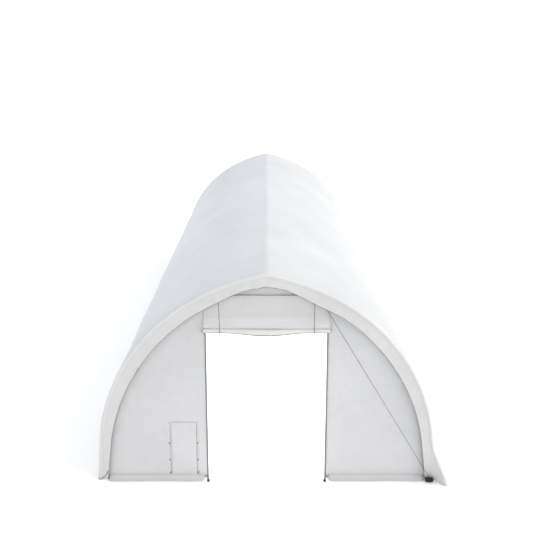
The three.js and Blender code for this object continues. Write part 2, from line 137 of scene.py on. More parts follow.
# Hoist
SLING_RADIUS = 0.0045
SLING_FOOT_X = {"left": -0.804, "right": 0.822}
SLING_OFFSET = 0.050
ROPE_RADIUS = 0.004
DRAW_ROPE_RADIUS = 0.003
ROPE_LAY = 0.040
CLEAT_LOW, CLEAT_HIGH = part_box("rope_cleat")
CLEAT_X = (CLEAT_LOW.x + CLEAT_HIGH.x) / 2
CLEAT_Y = (CLEAT_LOW.y + CLEAT_HIGH.y) / 2
SPARE_ROPE = 2 * CURTAIN_TRAVEL
HANK_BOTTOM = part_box("rope_hank")[0].z
HANK_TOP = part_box("rope_hank")[1].z
HANK_PITCH = 0.0084
HANK_COLUMNS = ((0.0545, 0.0205), (0.063, 0.029), (0.0715, 0.0375))  # half length, half width of the turns

# Calf flap
FLAP_LOW, FLAP_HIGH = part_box("calf_flap")
FLAP_LAP = 0.002
FLAP_STAND_OFF = 0.0022
NOTCH = (FLAP_LOW.x + FLAP_LAP, FLAP_HIGH.x - FLAP_LAP, FLAP_HIGH.z - FLAP_LAP)
ZIP_PITCH = 0.012
ZIP_TOOTH = (0.0060, 0.0013, 0.0090)
ZIP_STAGGER = 0.0007
TOGGLE_OFFSET = 0.020
TOGGLE_HEIGHTS = (0.095, 0.355, 0.685)


# ---------------------------------------------------------------- small maths

def smooth(value):
    """0 below 0, 1 above 1, and an even ramp between."""
    value = min(max(value, 0.0), 1.0)
    return value * value * (3 - 2 * value)


def mix(a, b, share):
    return a + (b - a) * share


def rough(x, y, seed):
    """Smooth noise from -1 to 1 at a point of a cloth."""
    return noise.noise(Vector((x, y, seed)))


def billow(x, y, seed):
    """Smooth noise from 0 to 1 at a point of a cloth."""
    return 0.5 + 0.5 * rough(x, y, seed)


def arch_point(girth, inset=0.0, y=0.0):
    """A point inset under the cover's outer face, and the outward direction there."""
    reach = abs(girth)
    centre = HAUNCH_CENTRE
    radius = HAUNCH_RADIUS - inset
    angle = LEG_LEAN
    if reach < CROWN_LENGTH:
        centre = CROWN_CENTRE
        radius = CROWN_RADIUS - inset
        top = math.acos(-CROWN_CENTRE[0] / radius)
        angle = mix(top, HAUNCH_END, reach / CROWN_LENGTH)
    elif reach < CROWN_LENGTH + HAUNCH_LENGTH:
        angle = mix(HAUNCH_END, LEG_LEAN, (reach - CROWN_LENGTH) / HAUNCH_LENGTH)
    leg = max(0.0, reach - CROWN_LENGTH - HAUNCH_LENGTH)
    side = 1 if girth >= 0 else -1
    x = centre[0] + radius * math.cos(angle) + leg * math.sin(LEG_LEAN)
    z = centre[1] + radius * math.sin(angle) - leg * math.cos(LEG_LEAN)
    outward = Vector((side * math.cos(angle), 0, math.sin(angle)))
    return Vector((side * x, y, z)), outward


def valance_depth(girth):
    swell = VALANCE_SWELL * math.sin(math.pi * min(1.0, max(0.0, 1 - abs(girth) / HALF_GIRTH)))
    slack = VALANCE_SLACK_RIGHT if girth > 0 else VALANCE_SLACK_LEFT
    slack *= math.exp(-((abs(girth) - 1.0) / 0.5) ** 2)
    ridge = VALANCE_RIDGE_DROP * math.exp(-((girth + 0.03) / VALANCE_RIDGE_REACH) ** 2)
    return VALANCE_DEPTH + swell + slack + ridge


def spread(low, high, count):
    """count + 1 even values from low to high."""
    return [mix(low, high, i / count) for i in range(count + 1)]


# ---------------------------------------------------------------- camera, floor and light

CAMERA_DISTANCE = 9.50
CAMERA_HEIGHT = 7.62
CAMERA_PITCH = math.radians(10.5)
CAMERA_LENS = 39.4
CAMERA_SHIFT = (0.0065, -0.20)
WORLD_COLOUR = (0.985, 0.99, 1.0, 1)
WORLD_STRENGTH = 1.16
SUN_STRENGTH = 1.9
SUN_PLACE = (14, -1, 7.0)
SUN_WIDTH = math.radians(50)
SUN_TINT = (1.0, 0.92, 0.75)
INSIDE_POWER = 480


def add_camera():
    data = bpy.data.cameras.new("camera")
    data.lens = CAMERA_LENS
    data.shift_x, data.shift_y = CAMERA_SHIFT
    data.clip_end = 500
    camera = bpy.data.objects.new("camera", data)
    camera.location = (0, FRONT_Y - CAMERA_DISTANCE, CAMERA_HEIGHT)
    camera.rotation_euler = (math.pi / 2 - CAMERA_PITCH, 0, 0)
    bpy.context.collection.objects.link(camera)
    bpy.context.scene.camera = camera


def add_light(name, kind, energy, location, aim, size, tint=(1, 1, 1)):
    data = bpy.data.lights.new(name, kind)
    data.energy = energy
    data.color = tint
    if kind == "SUN":
        data.angle = size[0]
    else:
        data.shape = "RECTANGLE"
        data.size, data.size_y = size
    light = bpy.data.objects.new(name, data)
    light.location = location
    light.rotation_euler = (Vector(aim) - Vector(location)).to_track_quat("-Z", "Y").to_euler()
    light.visible_camera = False
    bpy.context.collection.objects.link(light)


def add_studio():
    bpy.context.scene.view_settings.view_transform = "Standard"
    world = bpy.data.worlds.new("studio")
    world.use_nodes = True
    background = world.node_tree.nodes["Background"]
    background.inputs["Color"].default_value = WORLD_COLOUR
    background.inputs["Strength"].default_value = WORLD_STRENGTH
    bpy.context.scene.world = world
    add_light("key", "SUN", SUN_STRENGTH, SUN_PLACE, (0, 0, 0), (SUN_WIDTH,), SUN_TINT)
    add_light("inside", "AREA", INSIDE_POWER, (0, 0, 3.3), (0, 0, 0), (2.4, 10.5))


def add_floor():
    reach = 60
    corners = [(x * reach, y * reach, 0) for x, y in ((-1, -1), (1, -1), (1, 1), (-1, 1))]
    mesh = bpy.data.meshes.new("floor")
    mesh.from_pydata(corners, [], [(0, 1, 2, 3)])
    floor = bpy.data.objects.new("floor", mesh)
    floor.data.materials.append(plain_floor())
    bpy.context.collection.objects.link(floor)


# ---------------------------------------------------------------- materials

def start_material(name):
    material = bpy.data.materials.new(name)
    material.use_nodes = True
    tree = material.node_tree
    return material, tree, tree.nodes["Principled BSDF"]


def value_of(tree, socket_or_number, socket):
    """Feed a socket from another socket, or set it to a number."""
    if isinstance(socket_or_number, (int, float)):
        socket.default_value = socket_or_number
    else:
        tree.links.new(socket_or_number, socket)


def maths(tree, operation, a, b=0.0):
    node = tree.nodes.new("ShaderNodeMath")
    node.operation = operation
    value_of(tree, a, node.inputs[0])
    value_of(tree, b, node.inputs[1])
    return node.outputs[0]


def plus(tree, a, b):
    return maths(tree, "ADD", a, b)


def minus(tree, a, b):
    return maths(tree, "SUBTRACT", a, b)


def times(tree, a, b):
    return maths(tree, "MULTIPLY", a, b)


def remap(tree, value, from_low, from_high, to_low, to_high):
    node = tree.nodes.new("ShaderNodeMapRange")
    node.clamp = True
    value_of(tree, value, node.inputs["Value"])
    node.inputs["From Min"].default_value = from_low
    node.inputs["From Max"].default_value = from_high
    node.inputs["To Min"].default_value = to_low
    node.inputs["To Max"].default_value = to_high
    return node.outputs["Result"]


def speckle(tree, vector, scale, detail=3.0, roughness=0.55):
    """Smooth noise from 0 to 1 over the surface."""
    node = tree.nodes.new("ShaderNodeTexNoise")
    node.inputs["Scale"].default_value = scale
    node.inputs["Detail"].default_value = detail
    node.inputs["Roughness"].default_value = roughness
    tree.links.new(vector, node.inputs["Vector"])
    return node.outputs["Fac"]


def place(tree, source="Object"):
    return tree.nodes.new("ShaderNodeTexCoord").outputs[source]


def split(tree, vector):
    node = tree.nodes.new("ShaderNodeSeparateXYZ")
    tree.links.new(vector, node.inputs[0])
    return node.outputs


def stretched(tree, vector, scale):
    node = tree.nodes.new("ShaderNodeMapping")
    node.inputs["Scale"].default_value = scale
    tree.links.new(vector, node.inputs["Vector"])
    return node.outputs["Vector"]


def bands(tree, value, pitch, width):
    """1 on a line of that width that repeats every pitch, 0 between the lines."""
    turns = maths(tree, "FRACT", maths(tree, "DIVIDE", value, pitch))
    off_middle = maths(tree, "ABSOLUTE", minus(tree, turns, 0.5))
    half = width / pitch / 2
    return remap(tree, off_middle, half * 0.7, half * 1.3, 1.0, 0.0)


def two_colours(tree, share, dark, light):
    node = tree.nodes.new("ShaderNodeMix")
    node.data_type = "RGBA"
    node.inputs["A"].default_value = (*dark, 1)
    node.inputs["B"].default_value = (*light, 1)
    tree.links.new(share, node.inputs["Factor"])
    return node.outputs["Result"]


def add_bump(tree, shader, height, strength, distance):
    node = tree.nodes.new("ShaderNodeBump")
    node.inputs["Strength"].default_value = strength
    node.inputs["Distance"].default_value = distance
    tree.links.new(height, node.inputs["Height"])
    tree.links.new(node.outputs["Normal"], shader.inputs["Normal"])
    return node.outputs["Normal"]


def weave(tree, threads, pitch):
    """Height of a plain weave of flat tapes, from the cloth's own length and width."""
    u, v, _ = split(tree, threads)
    warp = maths(tree, "SINE", times(tree, u, math.tau / pitch))
    weft = maths(tree, "SINE", times(tree, v, math.tau / pitch))
    return remap(tree, times(tree, warp, weft), -1, 1, 0, 1)


def cover_cloth(name, dark, light, seam_pitch=0.0, painted_floor_light=0.0, highlight_from=0.0):
    """White woven polyethylene: flat tapes, a coarser reinforcing grid, fold lines darkened with painted
    shade, soft creases and welded seams.
    """
    material, tree, shader = start_material(name)
    threads = place(tree, "UV")
    spot = place(tree)
    u, v, _ = split(tree, threads)
    grid = maths(tree, "MAXIMUM", bands(tree, u, 0.025, 0.0035), bands(tree, v, 0.025, 0.0035))
    folds = maths(tree, "MAXIMUM", bands(tree, u, 0.92, 0.012), bands(tree, v, 1.36, 0.012))
    crease = speckle(tree, stretched(tree, spot, (2.2, 1.1, 1.6)), 2.0, 7.0, 0.62)
    blotch = speckle(tree, spot, 0.9, 4.0)
    grime = speckle(tree, spot, 7.0, 5.0, 0.65)
    share = plus(tree, times(tree, blotch, 0.6), times(tree, grime, 0.4))
    share = remap(tree, share, 0.30, 0.70, 0.0, 1.0)
    share = minus(tree, share, times(tree, grid, 0.18))
    # Painted shade: the colour is darkened along the fold lines, standing in for the shade in their
    # creases.
    share = minus(tree, share, times(tree, folds, 0.15))
    # Painted light: the colour is painted paler towards the ground, standing in for the light the floor
    # throws up on the cloth.
    if painted_floor_light:
        share = plus(tree, share, remap(tree, split(tree, spot)[2], 0.0, 0.9, painted_floor_light, 0.0))
    if seam_pitch:
        seam = bands(tree, v, seam_pitch, 0.040)
        stitch = bands(tree, plus(tree, v, 0.017), seam_pitch, 0.006)
        share = minus(tree, share, times(tree, seam, 0.35))
        share = minus(tree, share, times(tree, stitch, 0.9))
    colour = two_colours(tree, share, dark, light)
    # Painted highlight: the cloth is painted paler over its last few centimetres at each end, where it
    # turns over the end arch.
    if highlight_from:
        edge = remap(tree, maths(tree, "ABSOLUTE", v), highlight_from, highlight_from + 0.03, 0.0, 0.40)
        highlighted = two_colours(tree, edge, dark, (0.93, 0.93, 0.94))
        tree.links.new(colour, highlighted.node.inputs["A"])
        colour = highlighted
    tree.links.new(colour, shader.inputs["Base Color"])
    tree.links.new(remap(tree, grime, 0.3, 0.7, 0.40, 0.56), shader.inputs["Roughness"])
    shader.inputs["Sheen Weight"].default_value = 0.08
    shader.inputs["Sheen Roughness"].default_value = 0.5
    shader.inputs["Specular IOR Level"].default_value = 0.35
    fine = times(tree, weave(tree, threads, 0.005), 0.05)
    height = plus(tree, crease, fine)
    height = plus(tree, height, times(tree, grid, 0.03))
    height = plus(tree, height, times(tree, folds, 0.07))
    normal = add_bump(tree, shader, height, 0.35, 0.012)
    glow = tree.nodes.new("ShaderNodeBsdfTranslucent")
    glow.inputs["Color"].default_value = (*light, 1)
    tree.links.new(normal, glow.inputs["Normal"])
    both = tree.nodes.new("ShaderNodeMixShader")
    both.inputs["Fac"].default_value = 0.28
    tree.links.new(shader.outputs["BSDF"], both.inputs[1])
    tree.links.new(glow.outputs["BSDF"], both.inputs[2])
    tree.links.new(both.outputs["Shader"], tree.nodes["Material Output"].inputs["Surface"])
    return material


def webbing(name, dark, light):
    """Narrow woven tape with a herringbone of fine ribs."""
    material, tree, shader = start_material(name)
    x, _, z = split(tree, place(tree))
    slope = plus(tree, z, maths(tree, "ABSOLUTE", x))
    ribs = maths(tree, "SINE", times(tree, slope, math.tau / 0.004))
    fibres = speckle(tree, place(tree), 260.0, 3.0)
    worn = speckle(tree, place(tree), 14.0, 4.0)
    share = plus(tree, times(tree, worn, 0.7), times(tree, fibres, 0.3))
    colour = two_colours(tree, remap(tree, share, 0.3, 0.7, 0, 1), dark, light)
    tree.links.new(colour, shader.inputs["Base Color"])
    shader.inputs["Roughness"].default_value = 0.85
    shader.inputs["Sheen Weight"].default_value = 0.2
    height = plus(tree, times(tree, ribs, 0.4), fibres)
    add_bump(tree, shader, height, 0.5, 0.0006)
    return material


def rope_fibre():
    """Black twisted polypropylene, dusty on the high fibres."""
    material, tree, shader = start_material("rope_fibre")
    fibres = speckle(tree, place(tree), 420.0, 4.0, 0.7)
    dust = speckle(tree, place(tree), 9.0, 4.0)
    share = times(tree, fibres, remap(tree, dust, 0.35, 0.7, 0.3, 1.0))
    colour = two_colours(tree, share, (0.010, 0.010, 0.012), (0.036, 0.037, 0.040))
    tree.links.new(colour, shader.inputs["Base Color"])
    shader.inputs["Roughness"].default_value = 0.78
    shader.inputs["Sheen Weight"].default_value = 0.10
    add_bump(tree, shader, fibres, 0.6, 0.0008)
    return material


def galvanised_steel():
    """Hot-dip zinc: large soft spangles, small pits and a duller weathered film."""
    material, tree, shader = start_material("galvanised_steel")
    spot = place(tree)
    cells = tree.nodes.new("ShaderNodeTexVoronoi")
    cells.inputs["Scale"].default_value = 60.0
    tree.links.new(spot, cells.inputs["Vector"])
    spangle = split(tree, cells.outputs["Color"])[0]
    film = speckle(tree, spot, 6.0, 6.0, 0.6)
    share = plus(tree, times(tree, spangle, 0.45), times(tree, film, 0.55))
    colour = two_colours(tree, share, (0.36, 0.37, 0.38), (0.66, 0.67, 0.69))
    tree.links.new(colour, shader.inputs["Base Color"])
    shader.inputs["Metallic"].default_value = 0.85
    tree.links.new(remap(tree, share, 0.2, 0.8, 0.50, 0.32), shader.inputs["Roughness"])
    pits = speckle(tree, spot, 180.0, 4.0, 0.6)
    add_bump(tree, shader, plus(tree, pits, spangle), 0.15, 0.0006)
    return material


def black_plastic():
    """Moulded polymer with a fine grain, scuffed paler where it is rubbed."""
    material, tree, shader = start_material("moulded_black")
    spot = place(tree)
    grain = speckle(tree, spot, 900.0, 2.0)
    scuff = speckle(tree, spot, 40.0, 6.0, 0.7)
    edges = tree.nodes.new("ShaderNodeNewGeometry").outputs["Pointiness"]
    rubbed = remap(tree, edges, 0.50, 0.58, 0.0, 0.6)
    share = maths(tree, "MAXIMUM", rubbed, remap(tree, scuff, 0.55, 0.8, 0.0, 0.7))
    colour = two_colours(tree, share, (0.014, 0.014, 0.015), (0.085, 0.085, 0.088))
    tree.links.new(colour, shader.inputs["Base Color"])
    tree.links.new(remap(tree, share, 0, 1, 0.42, 0.68), shader.inputs["Roughness"])
    add_bump(tree, shader, grain, 0.25, 0.0003)
    return material


def plain_floor():
    material, tree, shader = start_material("plain_floor")
    tone = speckle(tree, place(tree), 0.4, 3.0)
    tree.links.new(two_colours(tree, tone, (0.93, 0.93, 0.93), (0.96, 0.96, 0.96)),
                   shader.inputs["Base Color"])
    shader.inputs["Roughness"].default_value = 0.9
    shader.inputs["Specular IOR Level"].default_value = 0.1
    return material


# ---------------------------------------------------------------- meshes

def make_piece(name, points, faces, materials, body, replaced=(), smooth_faces=True, threads=None,
               face_material=None):
    """A named piece on a body. threads gives each point's place along and across the cloth, in metres.
    smooth_faces is one value for the piece, or a list with one for each face."""
    mesh = bpy.data.meshes.new(name)
    mesh.from_pydata([tuple(p) for p in points], [], faces)
    mesh.validate()
    if isinstance(smooth_faces, bool):
        smooth_faces = [smooth_faces] * len(mesh.polygons)
    mesh.polygons.foreach_set("use_smooth", smooth_faces)
    if threads:
        layer = mesh.uv_layers.new(name="threads")
        for loop in mesh.loops:
            layer.data[loop.index].uv = threads[loop.vertex_index]
    if face_material:
        mesh.polygons.foreach_set("material_index", face_material)
    piece = bpy.data.objects.new(name, mesh)
    for material in materials:
        piece.data.materials.append(material)
    bpy.context.collection.objects.link(piece)
    if body:
        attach(piece, body)
    if replaced:
        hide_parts(*replaced)
    return piece


def grid_faces(rows, columns, closed=False):
    """Quads between rows of points; closed joins each row's last point to its first."""
    faces = []
    for r in range(rows - 1):
        for c in range(columns if closed else columns - 1):
            d = (c + 1) % columns
            faces.append((r * columns + c, r * columns + d, (r + 1) * columns + d, (r + 1) * columns + c))
    return faces


def capped_faces(rings, sides):
    """Faces of a tube made of rings of points, with a cap on each end."""
    last = (rings - 1) * sides
    caps = [tuple(reversed(range(sides))), tuple(range(last, last + sides))]
    return grid_faces(rings, sides, closed=True) + caps


def thicken(points, faces, thickness):
    """Closed skin: the given face, a second one under it, and a rim round every edge."""
    normals = [Vector((0, 0, 0)) for _ in points]
    edges = {}
    for face in faces:
        a, b, c = (points[i] for i in face[:3])
        normal = (b - a).cross(c - a)
        if len(face) == 4:
            normal += (c - a).cross(points[face[3]] - a)
        for i, here in enumerate(face):
            normals[here] += normal
            after = face[(i + 1) % len(face)]
            if (after, here) in edges:
                del edges[(after, here)]
            else:
                edges[(here, after)] = True
    count = len(points)
    under = [p - n.normalized() * thickness for p, n in zip(points, normals)]
    skin = list(faces) + [tuple(i + count for i in reversed(face)) for face in faces]
    skin += [(after, here, here + count, after + count) for here, after in edges]
    return list(points) + under, skin


def cloth_piece(name, points, faces, threads, material, body="structure", replaced=(), thickness=CLOTH,
                facing=None, shade_strip_material=None, shade_strip_faces=()):
    """A sheet of cloth with its outer face through the points. facing is a direction that face looks in.
    shade_strip_faces are the faces painted in shade_strip_material, a dark strip of painted shade."""
    if facing:
        a, b, c = (points[i] for i in faces[0][:3])
        if (b - a).cross(c - a).dot(Vector(facing)) < 0:
            faces = [tuple(reversed(face)) for face in faces]
    skin, skin_faces = thicken(points, faces, thickness)
    materials = [material, shade_strip_material] if shade_strip_material else [material]
    shades = [0] * len(skin_faces)
    for face in shade_strip_faces:
        shades[face] = 1
    flat_rim = [i < 2 * len(faces) for i in range(len(skin_faces))]
    return make_piece(name, skin, skin_faces, materials, body, replaced, flat_rim,
                      list(threads) * 2, shades)


def section_frames(path):
    """A pair of directions square to the path at each point, carried along without twist."""
    tangents = []
    for i in range(len(path)):
        before, after = path[max(i - 1, 0)], path[min(i + 1, len(path) - 1)]
        tangents.append((after - before).normalized())
    start = Vector((0, 0, 1)) if abs(tangents[0].z) < 0.9 else Vector((1, 0, 0))
    across = tangents[0].cross(start).normalized()
    frames = []
    for i, tangent in enumerate(tangents):
        if i:
            across = tangents[i - 1].rotation_difference(tangent) @ across
            across = (across - tangent * across.dot(tangent)).normalized()
        frames.append((across, tangent.cross(across)))
    return frames


def tube_skin(path, radius_at, sides, turn_at=None):
    """Closed tube round a path. radius_at(i, angle) is its radius, and turn_at(i) turns its section."""
    points = []
    for i, ((across, up), centre) in enumerate(zip(section_frames(path), path)):
        for s in range(sides):
            angle = math.tau * s / sides
            turned = angle + (turn_at(i) if turn_at else 0.0)
            radius = radius_at(i, angle)
            points.append(centre + (across * math.cos(turned) + up * math.sin(turned)) * radius)
    return points, capped_faces(len(path), sides)


def even_path(path, step):
    """The same line with its points step apart."""
    lengths = [0.0]
    for a, b in zip(path, path[1:]):
        lengths.append(lengths[-1] + (b - a).length)
    count = max(2, round(lengths[-1] / step))
    out, i = [], 0
    for k in range(count + 1):
        goal = lengths[-1] * k / count
        while i < len(path) - 2 and lengths[i + 1] < goal:
            i += 1
        share = (goal - lengths[i]) / max(lengths[i + 1] - lengths[i], 1e-9)
        out.append(path[i].lerp(path[i + 1], min(share, 1.0)))
    return out, lengths[-1]


def curve_through(knots, per_span=8):
    """A smooth line through given points."""
    out = []
    ends = [knots[0] * 2 - knots[1], *knots, knots[-1] * 2 - knots[-2]]
    for a, b, c, d in zip(ends, ends[1:], ends[2:], ends[3:]):
        for k in range(per_span):
            t = k / per_span
            out.append(((b * 2) + (c - a) * t + (a * 2 - b * 5 + c * 4 - d) * t * t
                        + (b * 3 - a - c * 3 + d) * t * t * t) / 2)
    out.append(knots[-1].copy())
    return out


def rope_piece(name, path, radius, replaced, body="structure", step=0.007):
    """A three-strand rope laid along a path."""
    path, length = even_path(path, step)
    lobes = 3
    hollow = 0.16
    points, faces = tube_skin(
        path,
        lambda i, angle: radius * (1 - hollow * (0.5 - 0.5 * math.cos(lobes * angle))),
        12,
        lambda i: math.tau * i * step / (ROPE_LAY * radius / ROPE_RADIUS),
    )
    piece = make_piece(name, points, faces, [MATERIALS["rope"]], body, replaced)
    return piece


def steel_piece(name, points, faces, replaced, body="structure"):
    return make_piece(name, points, faces, [MATERIALS["steel"]], body, replaced)


def tube_piece(name, path, radius, replaced, sides=20, body="structure"):
    points, faces = tube_skin(path, lambda i, angle: radius, sides)
    return steel_piece(name, points, faces, replaced, body)


def merged(parts):
    """One list of points and one of faces from several."""
    points, faces = [], []
    for part_points, part_faces in parts:
        shift = len(points)
        points += part_points
        faces += [tuple(i + shift for i in face) for face in part_faces]
    return points, faces


def rounded_block(centre, size, edge):
    """A box with chamfered edges and corners, as points and faces."""
    half = Vector(size) / 2
    points, faces, index = [], [], {}
    signs = (-1, 1)
    for axis in range(3):
        for sx in signs:
            for sy in signs:
                for sz in signs:
                    corner = Vector((sx, sy, sz))
                    point = Vector(corner[i] * (half[i] - (0 if i == axis else edge)) for i in range(3))
                    index[(axis, sx, sy, sz)] = len(points)
                    points.append(point + Vector(centre))
    ring = ((-1, -1), (1, -1), (1, 1), (-1, 1))
    for axis in range(3):
        for s in signs:
            keys = [[0, 0, 0] for _ in ring]
            for key, (a, b) in zip(keys, ring):
                key[axis] = s
                key[(axis + 1) % 3] = a
                key[(axis + 2) % 3] = b
            face = [index[(axis, *key)] for key in keys]
            faces.append(tuple(face if s > 0 else reversed(face)))
    for axis in range(3):
        other, third = (axis + 1) % 3, (axis + 2) % 3
        for s in signs:
            for t in signs:
                keys = []
                for run in signs:
                    key = [0, 0, 0]
                    key[axis], key[other], key[third] = run, s, t
                    keys.append(tuple(key))
                face = (index[(other, *keys[0])], index[(other, *keys[1])],
                        index[(third, *keys[1])], index[(third, *keys[0])])
                faces.append(face if s * t > 0 else tuple(reversed(face)))
    for sx in signs:
        for sy in signs:
            for sz in signs:
                face = tuple(index[(axis, sx, sy, sz)] for axis in range(3))
                faces.append(face if sx * sy * sz > 0 else tuple(reversed(face)))
    return points, faces


MATERIALS = {
    "rope": rope_fibre(),
    "steel": galvanised_steel(),
    "plastic": black_plastic(),
    "binding": webbing("binding_webbing", (0.13, 0.135, 0.14), (0.22, 0.225, 0.23)),
    "zip_tape": webbing("zip_tape", (0.50, 0.51, 0.53), (0.62, 0.63, 0.65)),
    # The roof cloth's stronger blue tint is painted light: it stands in for the cool skylight on the left
    # slope, and the warm sun offsets it on the right.
    "roof": cover_cloth("roof_cloth", (0.61, 0.63, 0.665), (0.72, 0.74, 0.77), 2.03,
                        highlight_from=-FRONT_Y - 0.040),
    "valance": cover_cloth("valance_cloth", (0.67, 0.675, 0.69), (0.77, 0.775, 0.79)),
    "wall": cover_cloth("wall_cloth", (0.595, 0.60, 0.615), (0.695, 0.70, 0.715), painted_floor_light=0.6),
    "curtain": cover_cloth("curtain_cloth", (0.62, 0.625, 0.64), (0.72, 0.725, 0.74)),
    # The roll cloth is the curtain cloth wound up, painted paler and slightly warmer: a painted highlight
    # for the light the roll catches from above.
    "roll": cover_cloth("roll_cloth", (0.75, 0.75, 0.74), (0.86, 0.86, 0.85)),
}


# ---------------------------------------------------------------- ropes

def hank_turn(share, half_length, half_width):
    """Point on a loop with round ends, share of the way round from the middle of its front run."""
    straight = 2 * (half_length - half_width)
    bend = math.pi * half_width
    total = 2 * straight + 2 * bend
    along = (share % 1.0) * total
    if along < straight / 2:
        return Vector((along, -half_width, 0))
    along -= straight / 2
    if along < bend:
        angle = -math.pi / 2 + along / half_width
        return Vector((straight / 2 + half_width * math.cos(angle), half_width * math.sin(angle), 0))
    along -= bend
    if along < straight:
        return Vector((straight / 2 - along, half_width, 0))
    along -= straight
    if along < bend:
        angle = math.pi / 2 + along / half_width
        return Vector((-straight / 2 + half_width * math.cos(angle), half_width * math.sin(angle), 0))
    return Vector((-straight / 2 + along - bend, -half_width, 0))


def hank_path():
    """Spare rope wound round the cleat's neck in three nested layers, the inner one first."""
    low = HANK_BOTTOM + ROPE_RADIUS + 0.0006
    high = HANK_TOP - ROPE_RADIUS - 0.0010
    turns = (high - low) / HANK_PITCH
    crossing = 0.35
    samples = 64
    path = []
    start = 0.0
    for layer, (half_length, half_width) in enumerate(HANK_COLUMNS):
        from_z, to_z = (high, low) if layer % 2 == 0 else (low, high)
        count = round(turns * samples)
        for k in range(count):
            share = k / samples
            point = hank_turn(start + share, half_length, half_width)
            point.z = mix(from_z, to_z, k / count)
            path.append(point)
        start += turns
        if layer + 1 < len(HANK_COLUMNS):
            next_length, next_width = HANK_COLUMNS[layer + 1]
            steps = round(crossing * samples)
            for k in range(steps):
                blend = smooth(k / steps)
                point = hank_turn(start + k / samples, mix(half_length, next_length, blend),
                                  mix(half_width, next_width, blend))
                point.z = to_z
                path.append(point)
            start += crossing
    centre = Vector((CLEAT_X, CLEAT_Y, 0))
    return [p + centre for p in path]


def add_hauling_rope():
    """From the right pulley straight down to the cleat, then the spare length wound round it."""
    low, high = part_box("hauling_rope")
    sheave_y = (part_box("sheave_right")[0].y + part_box("sheave_right")[1].y) / 2
    start = Vector((low.x + ROPE_RADIUS, sheave_y, high.z - 0.002))
    line_end = Vector((CLEAT_X, CLEAT_Y, low.z + ROPE_RADIUS - 0.002))
    direction = (line_end - start).normalized()
    wound = hank_path()
    over_the_horn = [line_end - direction * back for back in (0.100, 0.065, 0.035, 0.010)]
    over_the_horn += [
        Vector((CLEAT_X + 0.012, CLEAT_Y - 0.012, line_end.z - 0.003)),
        Vector((CLEAT_X + 0.020, CLEAT_Y - 0.0205, line_end.z - 0.012)),
        wound[6] + Vector((0, 0, 0.003)),
    ]
    rope = [start, *curve_through(over_the_horn, 10), *wound[8:]]
    length = 0.0
    kept = [rope[0]]
    line_length = (line_end - start).length
    for point in rope[1:]:
        length += (point - kept[-1]).length
        kept.append(point)
        if length > line_length + SPARE_ROPE:
            break
    rope_piece("hauling_rope_line", kept, ROPE_RADIUS, ["hauling_rope", "rope_hank"])


def add_cross_rope():
    low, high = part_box("cross_rope")
    z = (low.z + high.z) / 2
    left_y = (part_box("sheave_left")[0].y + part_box("sheave_left")[1].y) / 2
    path = [Vector((low.x, left_y, z)), Vector((high.x, left_y - 0.008, z))]
    rope_piece("cross_rope_line", path, ROPE_RADIUS, ["cross_rope"])


def add_slings():
    """Each sling drops from its pulley, and passes under the rolled curtain and up behind it."""
    for name in ("left", "right"):
        low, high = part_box(f"sling_fall_{name}")
        x = (low.x + high.x) / 2
        top = Vector((x, high.y - SLING_RADIUS, high.z))
        foot = Vector((SLING_FOOT_X[name], ROLL_Y - SLING_OFFSET, ROLL_Z + 0.0012))
        fall = rope_piece(f"sling_fall_rope_{name}", [top, foot], SLING_RADIUS, [f"sling_fall_{name}"],
                          body=None)
        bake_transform(fall)
        bight = []
        for angle in spread(math.pi, math.tau, 40):
            bight.append(Vector((SLING_FOOT_X[name], ROLL_Y + SLING_OFFSET * math.cos(angle),
                                 ROLL_Z + SLING_OFFSET * math.sin(angle))))
        rope_piece(f"sling_bight_rope_{name}", bight, SLING_RADIUS, [f"sling_bight_{name}"],
                   body="door_sling", step=0.004)


def add_valance_rope():
    """Draw rope along the front valance's inner edge, tied down at the left foot."""
    y = FRONT_Y + 0.0015
    path = []
    for girth in spread(-HALF_GIRTH, HALF_GIRTH, 360):
        point, _ = arch_point(girth, valance_depth(girth) + DRAW_ROPE_RADIUS + 0.0003, y)
        path.append(point)
    rope_piece("valance_draw_rope", path, DRAW_ROPE_RADIUS, ["valance_rope"])


# ---------------------------------------------------------------- cover

def corner_flare(girth, y, inset=0.0):
    """How the loose front corner of the right skirt stands out from the frame and forward on the ground."""
    height = (HALF_GIRTH - girth) / FLARE_HEIGHT
    along = (y - FRONT_Y) / FLARE_LENGTH
    free = 1 - smooth((inset - EDGE_RADIUS) / (valance_depth(girth) - EDGE_RADIUS))
    out = FLARE_OUT * (1 - smooth(height)) ** 1.5 * (1 - smooth(along)) * free
    forward = -FLARE_FORWARD * out * smooth((out - 0.04) / 0.16) * (1 - smooth(along * 2))
    return Vector((out, forward, -FLARE_DROP * out))


def roof_relief(girth, y, first_arch, spacing):
    """How far the cloth stands out of the even outline: sag between arches, soft wrinkles and hems."""
    bay = ((y - first_arch) / spacing) % 1.0
    sag = -0.016 * 4 * bay * (1 - bay)
    near_arch = math.exp(-((min(bay, 1 - bay) * spacing / 0.05) ** 2))
    broad = 0.007 * rough(girth * 0.9, y * 1.3, 1.0)
    drawn = 0.0035 * rough(girth * 1.6, y * 7.0, 2.0)
    slant = 0.003 * rough(girth * 4.0 + y * 2.5, y * 3.0 - girth * 1.5, 3.0)
    near_ridge = math.exp(-((girth - 0.5) / 0.9) ** 2)
    puckers = 0.004 * near_ridge * rough(girth * 7.0, y * 3.0, 4.0)
    hem = 0.0025 * smooth((abs(girth) - HALF_GIRTH + 0.075) / 0.006)
    taut = smooth((HALF_GIRTH - abs(girth)) / 0.4) * 0.6 + 0.4
    ridge = smooth(abs(girth) / 0.15)
    relief = (sag + broad + drawn + slant + puckers) * taut * mix(0.35, 1.0, ridge)
    return relief * (1 - 0.75 * near_arch) + 0.002 * near_arch + hem


